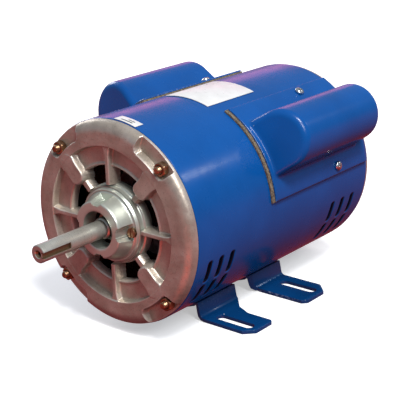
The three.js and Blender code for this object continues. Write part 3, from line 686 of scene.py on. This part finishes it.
def can_distance(x, y, z, cover, inset):
    """Signed distance to the drawn can of a cover, made smaller by inset all round."""
    crown = cover["centre"] + cover["radius"]
    radius, rounding = cover["radius"] - inset, COVER_ROUND - inset
    foot_flare = (cover["centre"] - x) / (cover["centre"] - FLARED_TO)
    flank = np.abs(z) - radius - np.clip(foot_flare, 0, 1)
    side = np.where(x < cover["centre"], flank, np.hypot(x - cover["centre"], z) - radius)
    lean = COVER_SLOPE * (crown - x) / (crown - FLANGE_OUTER)
    end = np.maximum(cover["front"] - lean + inset - y, y - cover["front"] - cover["length"] + inset)
    a, b = side + rounding, end + rounding
    return np.hypot(np.maximum(a, 0), np.maximum(b, 0)) + np.minimum(np.maximum(a, b), 0) - rounding


def outermost(field, low, high):
    """The radius at which field changes sign between low, inside, and high, outside."""
    low, high = np.full_like(high, low), high.copy()
    for _ in range(HALVINGS):
        middle = (low + high) / 2
        inside = field(middle) < 0
        low, high = np.where(inside, middle, low), np.where(inside, high, middle)
    return (low + high) / 2


def cover(name, node, place):
    """A capacitor cover: the can blends into its flange, and both follow the shell."""
    front, rear = place["front"], place["front"] + place["length"]
    half_can = math.degrees(math.asin((place["radius"] + 0.5) / FLANGE_OUTER))
    rounding = COVER_ROUND * np.sin(np.radians(np.linspace(0, 90, 11)))
    ys = grid_lines(
        [front - FLANGE_AHEAD, front - FLANGE_AHEAD + 0.2, front - FLANGE_AHEAD + 0.5],
        spread(front - FLANGE_AHEAD + 1, front + 6, 0.4), spread(front + 6, rear - COVER_ROUND, 4.0),
        rear - COVER_ROUND + rounding,
        spread(rear, rear + FILLET, 0.3), spread(rear + FILLET, rear + FLANGE_BEHIND - 0.5, 3.0),
        [rear + FLANGE_BEHIND - 0.2, rear + FLANGE_BEHIND],
    )
    half = grid_lines(
        spread(0, half_can - 5, 0.7), spread(half_can - 5, half_can + 1.6, 0.12),
        spread(half_can + 1.6, COVER_HALF_ANGLE - 0.4, 1.5),
        [COVER_HALF_ANGLE - 0.25, COVER_HALF_ANGLE - 0.1, COVER_HALF_ANGLE],
    )
    turns = np.concatenate([-half[:0:-1], half])
    y, turn = np.meshgrid(ys, np.radians(turns))
    cos, sin = np.cos(turn), np.sin(turn)
    far = np.full(y.shape, place["centre"] + place["radius"] + LOOK_PAST)

    def outside(radius):
        can = can_distance(radius * cos, y, radius * sin, place, 0)
        return smooth_min(can, radius - FLANGE_OUTER, FILLET)

    def inside(radius):
        can = can_distance(radius * cos, y, radius * sin, place, COVER_WALL)
        return np.minimum(can, radius - FLANGE_INNER)

    outer, inner = outermost(outside, LOOK_FROM, far), outermost(inside, LOOK_FROM, far)
    to_edge = np.minimum(
        np.minimum(y - ys[0], ys[-1] - y), (COVER_HALF_ANGLE - np.abs(np.degrees(turn))) * 1.5
    )
    outer = outer - 0.4 * (1 - ease(to_edge, 0.0, 0.5))
    crown = place["centre"] + place["radius"]
    outer, inner = np.minimum(outer, crown), np.minimum(inner, outer - 0.6)
    skins = [np.stack([radius * cos, y, radius * sin], -1) for radius in (outer, inner)]
    filled = np.ones((len(turns) - 1, len(ys) - 1), bool)
    points, faces = two_skins(*skins, filled, wrapped=False)
    points = swung(points, place["angle"])
    make_piece(name, node, "blue_paint", points, faces, LOOKS["blue_paint"], 42)


cover("right_cover_pressing", "right_capacitor_cover", RIGHT_COVER)
cover("left_cover_pressing", "left_capacitor_cover", LEFT_COVER)

# ---- fasteners ----

NUT_FLATS, NUT_HEIGHT, BOLT_RADIUS, STUD = 10.0, 5.0, 3.0, 3.6
NUT_SEAT = 0.9  # y of the nut's rear face
HEAD_SEAT = REAR_RIM - 0.9  # y of the bolt head's front face
THREAD_PITCH, THREAD_DEPTH, THREAD_END = 1.0, 0.32, 16
ROUND = np.linspace(0, 2 * np.pi, 72, endpoint=False)


def hexagon(flats):
    """From a hexagon's centre to its edge, for each direction in ROUND."""
    return flats / 2 / np.cos((ROUND + np.pi / 6) % (np.pi / 3) - np.pi / 6)


def bolt_section(y, radius, angle):
    """A section round a tie bolt: radius may be one number or one for each direction."""
    x = BOLT_CIRCLE * math.cos(math.radians(angle)) + radius * np.cos(ROUND)
    z = BOLT_CIRCLE * math.sin(math.radians(angle)) + radius * np.sin(ROUND)
    return np.stack([x, np.full_like(x, y), z], -1)


def thread(start, end, radius):
    """Stations (y, radius) of rounded thread crests between two places."""
    stations = []
    for y in spread(start, end, THREAD_PITCH / 4):
        wave = 1 + math.cos(2 * math.pi * (y - start) / THREAD_PITCH)
        stations.append((y, radius - THREAD_DEPTH / 2 * wave))
    return stations


def tie_bolt(number, angle):
    tip = NUT_SEAT - NUT_HEIGHT - STUD
    seat = HEAD_SEAT
    flats = hexagon(NUT_FLATS)
    stations = [(tip, 0.4), (tip, 2.1), (tip + 0.5, 2.6)]
    stations += thread(tip + 0.8, THREAD_END, BOLT_RADIUS)
    stations += [(THREAD_END + 1, BOLT_RADIUS), (seat, BOLT_RADIUS), (seat, flats)]
    stations.append((seat + 3.3, flats))
    for height, chamfer in ((3.6, 5.4), (3.85, 5.1), (4.0, 4.75)):
        stations.append((seat + height, np.minimum(flats, chamfer)))
    stations.append((seat + 4.0, 0.4))
    sections = [bolt_section(y, radius, angle) for y, radius in stations]
    make_piece(
        f"tie_bolt_{number}_turned", f"tie_bolt_{number}", "yellow_zinc", *lofted(sections),
        LOOKS["yellow_zinc"], 30,
    )


def tie_bolt_nut(number, angle):
    front = NUT_SEAT - NUT_HEIGHT
    flats = hexagon(NUT_FLATS)
    hole = BOLT_RADIUS + 0.12
    stations = [(front + 0.5, hole), (front, 3.7), (front, 4.5)]
    for height, chamfer in ((0.15, 4.95), (0.4, 5.3), (0.75, 5.6), (1.1, 5.8)):
        stations.append((front + height, np.minimum(flats, chamfer)))
    stations += [(NUT_SEAT - 0.5, flats), (NUT_SEAT, np.minimum(flats, 5.2)), (NUT_SEAT, hole)]
    sections = [bolt_section(y, radius, angle) for y, radius in stations]
    make_piece(
        f"tie_bolt_nut_{number}_faced", f"tie_bolt_nut_{number}", "yellow_zinc",
        *lofted(sections, closed=True), LOOKS["yellow_zinc"], 30,
    )


def cross_recess(u, v):
    """How deep a cross recess is at a place on a screw's head."""
    long, narrow, corner, deep = 2.0, 0.42, 0.3, 1.1
    across = box_distance(u, v, long, narrow, corner)
    arm = np.minimum(across, box_distance(u, v, narrow, long, corner))
    return deep * (1 - ease(arm, -0.25, 0.1))


def cover_screw(node, angle, y):
    """A pan-head screw that points at the shaft."""
    base, shank, head, side, crown = FLANGE_OUTER + 0.3, 2.0, 4.0, 0.9, 2.1
    tip = 79.0
    stations = [(tip, 0.3), (tip, 1.6), (tip + 0.6, shank), (base, shank), (base, head - 0.2)]
    stations += [(base + 0.2, head), (base + side, head)]
    slopes = np.linspace(0.12, 1.5, 24)
    dome = [(head * math.cos(slope), base + side + crown * math.sin(slope)) for slope in slopes]
    sections = []
    for height, radius in stations:
        u, v = radius * np.cos(ROUND), radius * np.sin(ROUND)
        sections.append(np.stack([np.full_like(u, height), y + v, u], -1))
    for radius, height in dome:
        u, v = radius * np.cos(ROUND), radius * np.sin(ROUND)
        sections.append(np.stack([height - cross_recess(u, v), y + v, u], -1))
    points, faces = lofted(sections)
    make_piece(node + "_head", node, "nickel", swung(points, angle), faces, LOOKS["nickel"], 40)


for number, angle in enumerate(DIAGONAL, 1):
    tie_bolt(number, angle)
    tie_bolt_nut(number, angle)

# ---- shaft ----

KEYWAY_HALF, KEYWAY_FLOOR, KEYWAY_END = 2.5, 4.1, -52.0
KEYWAY_RUN = 2.5  # the cutter's radius at the keyway's end


def shaft():
    """The stepped shaft, with its keyway open at the tip and a centre hole in its end face."""
    edge = math.asin(KEYWAY_HALF / SHAFT_RADIUS)
    arc = np.linspace(edge, 2 * math.pi - edge, 90)
    across = np.linspace(-1, 1, 9)
    width = KEYWAY_HALF * np.concatenate([[-1, -1], across[1:-1], [1, 1]])

    def section(y, radius, half=0.0):
        """Half is the keyway's half width here, or 0 where there is no keyway."""
        share = radius / SHAFT_RADIUS
        z = width * share
        top = np.sqrt(radius**2 - z**2)
        x = top.copy()
        if half:
            floor = np.full_like(z, KEYWAY_FLOOR)
            floor[[0, -1]] = top[[0, -1]]
            x = np.minimum(np.where(np.abs(z) <= half + 1e-6, floor, top), top)
        round_x, round_z = radius * np.cos(arc), radius * np.sin(arc)
        xs, zs = np.concatenate([round_x, x[1:-1]]), np.concatenate([round_z, z[1:-1]])
        return np.stack([xs, np.full_like(xs, y), zs], -1)

    tip = SHAFT_TIP
    centre_hole = [(tip + 6, 0.3), (tip + 6, 1.6), (tip + 1.8, 1.6), (tip, 3.4)]
    keyed = [
        (tip, SHAFT_RADIUS - 0.8), (tip + 0.25, 6.6), (tip + 0.8, SHAFT_RADIUS),
        (KEYWAY_END - KEYWAY_RUN, SHAFT_RADIUS), (KEYWAY_END - 0.02, SHAFT_RADIUS),
    ]
    stepped = [
        (KEYWAY_END, SHAFT_RADIUS), (-14, SHAFT_RADIUS), (-13.7, 7.6), (-13.2, 8.4), (-13, 8.5),
        (7.6, 8.5), (7.6, 10.4), (24, 10.4), (26, 12), (160, 12), (162, 10.2), (226.5, 10.2),
        (226.5, 8.5), (237.8, 8.5), (238.6, 7.8), (238.6, 0.3),
    ]
    sections = [section(y, radius) for y, radius in centre_hole]
    sections += [section(y, radius, KEYWAY_HALF) for y, radius in keyed]
    sections += [section(y, radius) for y, radius in stepped]
    make_piece(
        "shaft_turned", "shaft", "ground_steel", *lofted(sections), LOOKS["ground_steel"], 30, "rotor"
    )


shaft()

# ---- other pieces ----


def refined(node, width, segments):
    """A copy of a CAD node with welded, rounded edges, which is shown instead of the node."""
    flat, rounded_from, sharp = 1.0, 30.0, 40.0  # degrees between two faces
    piece = bpy.data.objects.new(node + "_rounded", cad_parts[node].data.copy())
    bpy.context.scene.collection.objects.link(piece)
    work = bmesh.new()
    work.from_mesh(piece.data)
    bmesh.ops.remove_doubles(work, verts=work.verts, dist=WELD)
    edges = [edge for edge in work.edges if len(edge.link_faces) == 2]
    bmesh.ops.dissolve_limit(work, angle_limit=math.radians(flat), verts=work.verts, edges=edges)
    work.to_mesh(piece.data)
    work.free()
    bevel = piece.modifiers.new("rounded", "BEVEL")
    bevel.width = width * MM
    bevel.segments = segments
    bevel.limit_method = "ANGLE"
    bevel.angle_limit = math.radians(rounded_from)
    bpy.context.view_layer.update()
    shown = piece.evaluated_get(bpy.context.evaluated_depsgraph_get())
    mesh = bpy.data.meshes.new_from_object(shown)
    piece.modifiers.clear()
    piece.data = mesh
    shade(mesh, sharp)
    stands_for(piece, node, "frame")


for node in ("front_foot", "rear_foot"):
    refined(node, 0.7, 3)
for node in ("right_cover_gasket", "left_cover_gasket"):
    refined(node, 0.2, 1)
for node in ("nameplate", "front_label"):
    refined(node, 0.15, 2)
for node in ("cap_screw_1", "cap_screw_2"):
    refined(node, 0.3, 2)


MARK_BASE, MARK_TOP = SHELL_OUTER + 0.6, SHELL_OUTER + 0.78


def label_mark(number, low, high, front, rear):
    """A plain printed dash on the front label, with no lettering."""
    turns, ys = np.linspace(low, high, 12), spread(front, rear, 0.4)
    y, turn = np.meshgrid(ys, np.radians(turns))
    skins = []
    for radius in (MARK_TOP, MARK_BASE):
        skins.append(np.stack([radius * np.cos(turn), y, radius * np.sin(turn)], -1))
    filled = np.ones((len(turns) - 1, len(ys) - 1), bool)
    points, faces = two_skins(*skins, filled, wrapped=False)
    make_piece(f"label_mark_{number}", None, "white_plate", points, faces, LOOKS["grey_marking"], 60)


label_mark(1, 76.5, 84.5, 5.6, 7.0)
label_mark(2, 76.5, 81.0, 8.4, 9.6)

for side, place in (("right", RIGHT_COVER), ("left", LEFT_COVER)):
    for number, turn in ((1, -COVER_SCREW_TURN), (2, COVER_SCREW_TURN)):
        name = f"{side}_cover_screw_{number}"
        cover_screw(name, place["angle"] + turn, place["front"] + COVER_SCREW_BEHIND)

# ---- floor, light and camera ----


def floor():
    glow, side, gap = 0.45, 6.0, 0.0002
    n = Nodes("studio_floor")
    n.set(Base_Color=n.ramp(n.noise(60, 2), [(0.3, (0.86, 0.86, 0.86)), (0.7, (0.88, 0.88, 0.88))]))
    n.set(Roughness=0.9, Metallic=0.0)
    n.shader.inputs["Emission Color"].default_value = (1, 1, 1, 1)
    n.set(Emission_Strength=glow)
    mesh = bpy.data.meshes.new("floor")
    corners = [(-side, -side, 0), (side, -side, 0), (side, side, 0), (-side, side, 0)]
    mesh.from_pydata(corners, [], [(0, 1, 2, 3)])
    piece = bpy.data.objects.new("floor", mesh)
    bpy.context.scene.collection.objects.link(piece)
    mesh.materials.append(n.material)
    piece.location.z = -gap
    piece.visible_diffuse = piece.visible_glossy = False  # so that the floor throws no white light up


# Name, place in metres, watts, colour, width and height. Each lamp points at the motor.
PANELS = [
    ("side", (1.1, -0.5, 1.0), 8, (1, 1, 1), 0.35, 0.4),
    ("back", (0.9, 1.12, 0.95), 0.9, (1, 1, 1), 0.16, 0.16),
    ("rear", (-1.35, 0.45, 0.7), 5, (1, 1, 1), 0.5, 0.5),
    ("rose", (-0.9, 1.05, 0.42), 0.9, (1.0, 0.2, 0.4), 0.8, 0.3),
    ("warm", (0.5, -1.1, -0.75), 2.7, (1.0, 0.12, 0.08), 1.1, 0.5),
]
KEY_PLACE, KEY_STRENGTH, KEY_ANGLE = (0.55, -0.25, 1.0), 2.3, 14.0
# Colours of the surround from straight down, 0, through level, 0.5, to straight up, 1.
SURROUND = [
    (0.0, (0.08, 0.015, 0.015)), (0.24, (0.34, 0.04, 0.05)), (0.43, (0.50, 0.13, 0.11)),
    (0.55, (0.19, 0.26, 0.35)), (1.0, (0.40, 0.41, 0.44)),
]


def add_lamp(data, place, strength):
    data.energy = strength
    lamp = bpy.data.objects.new(data.name, data)
    bpy.context.scene.collection.objects.link(lamp)
    lamp.location = place
    aim = Vector((0, 0, SHAFT_HEIGHT * MM)) - Vector(place)
    lamp.rotation_euler = aim.to_track_quat("-Z", "Y").to_euler()


def lamps():
    """A broad key from above, panels that light the sides, and two tinted ones for reflections."""
    key = bpy.data.lights.new("key", "SUN")
    key.angle = math.radians(KEY_ANGLE)
    add_lamp(key, KEY_PLACE, KEY_STRENGTH)
    for name, place, strength, colour, width, height in PANELS:
        panel = bpy.data.lights.new(name, "AREA")
        panel.shape = "RECTANGLE"
        panel.color = colour
        panel.size, panel.size_y = width, height
        add_lamp(panel, place, strength)


def surround():
    """A dim surround, reddish below the horizon. The camera itself sees plain white there."""
    world = bpy.data.worlds.new("studio")
    bpy.context.scene.world = world
    world.use_nodes = True
    nodes, links = world.node_tree.nodes, world.node_tree.links
    split = nodes.new("ShaderNodeSeparateXYZ")
    links.new(nodes.new("ShaderNodeTexCoord").outputs["Generated"], split.inputs[0])
    height = nodes.new("ShaderNodeMapRange")
    height.inputs["From Min"].default_value = -1
    links.new(split.outputs["Z"], height.inputs["Value"])
    ramp = nodes.new("ShaderNodeValToRGB")
    set_stops(ramp, SURROUND)
    links.new(height.outputs["Result"], ramp.inputs["Fac"])
    seen = nodes.new("ShaderNodeMix")
    seen.data_type = "RGBA"
    links.new(nodes.new("ShaderNodeLightPath").outputs["Is Camera Ray"], seen.inputs["Factor"])
    around, backdrop = (socket for socket in seen.inputs if socket.type == "RGBA")
    links.new(ramp.outputs["Color"], around)
    backdrop.default_value = (1, 1, 1, 1)
    colour = [socket for socket in seen.outputs if socket.type == "RGBA"][0]
    links.new(colour, nodes["Background"].inputs["Color"])
    nodes["Background"].inputs["Strength"].default_value = 1.0


def camera():
    """The photograph's viewing angle, from a fit to the shell's circles and the floor plane."""
    azimuth, elevation, roll = (math.radians(v) for v in (40.39, 18.05, -2.10))
    distance, ahead = 0.929, 0.0146
    level = math.cos(elevation)
    back = Vector((math.sin(azimuth) * level, -math.cos(azimuth) * level, math.sin(elevation)))
    data = bpy.data.cameras.new("camera")
    data.sensor_width = 36.0
    data.lens = 100.3
    data.shift_x, data.shift_y = 0.0095, -0.0246
    data.clip_start, data.clip_end = 0.01, 50
    eye = bpy.data.objects.new("camera", data)
    bpy.context.scene.collection.objects.link(eye)
    eye.location = Vector((0, ahead, SHAFT_HEIGHT * MM)) + back * distance
    turn = (-back).to_track_quat("-Z", "Y").to_matrix().to_4x4()
    eye.rotation_euler = (turn @ Matrix.Rotation(roll, 4, "Z")).to_euler()
    bpy.context.scene.camera = eye


floor()
surround()
lamps()
camera()
bpy.context.scene.view_settings.view_transform = "Standard"
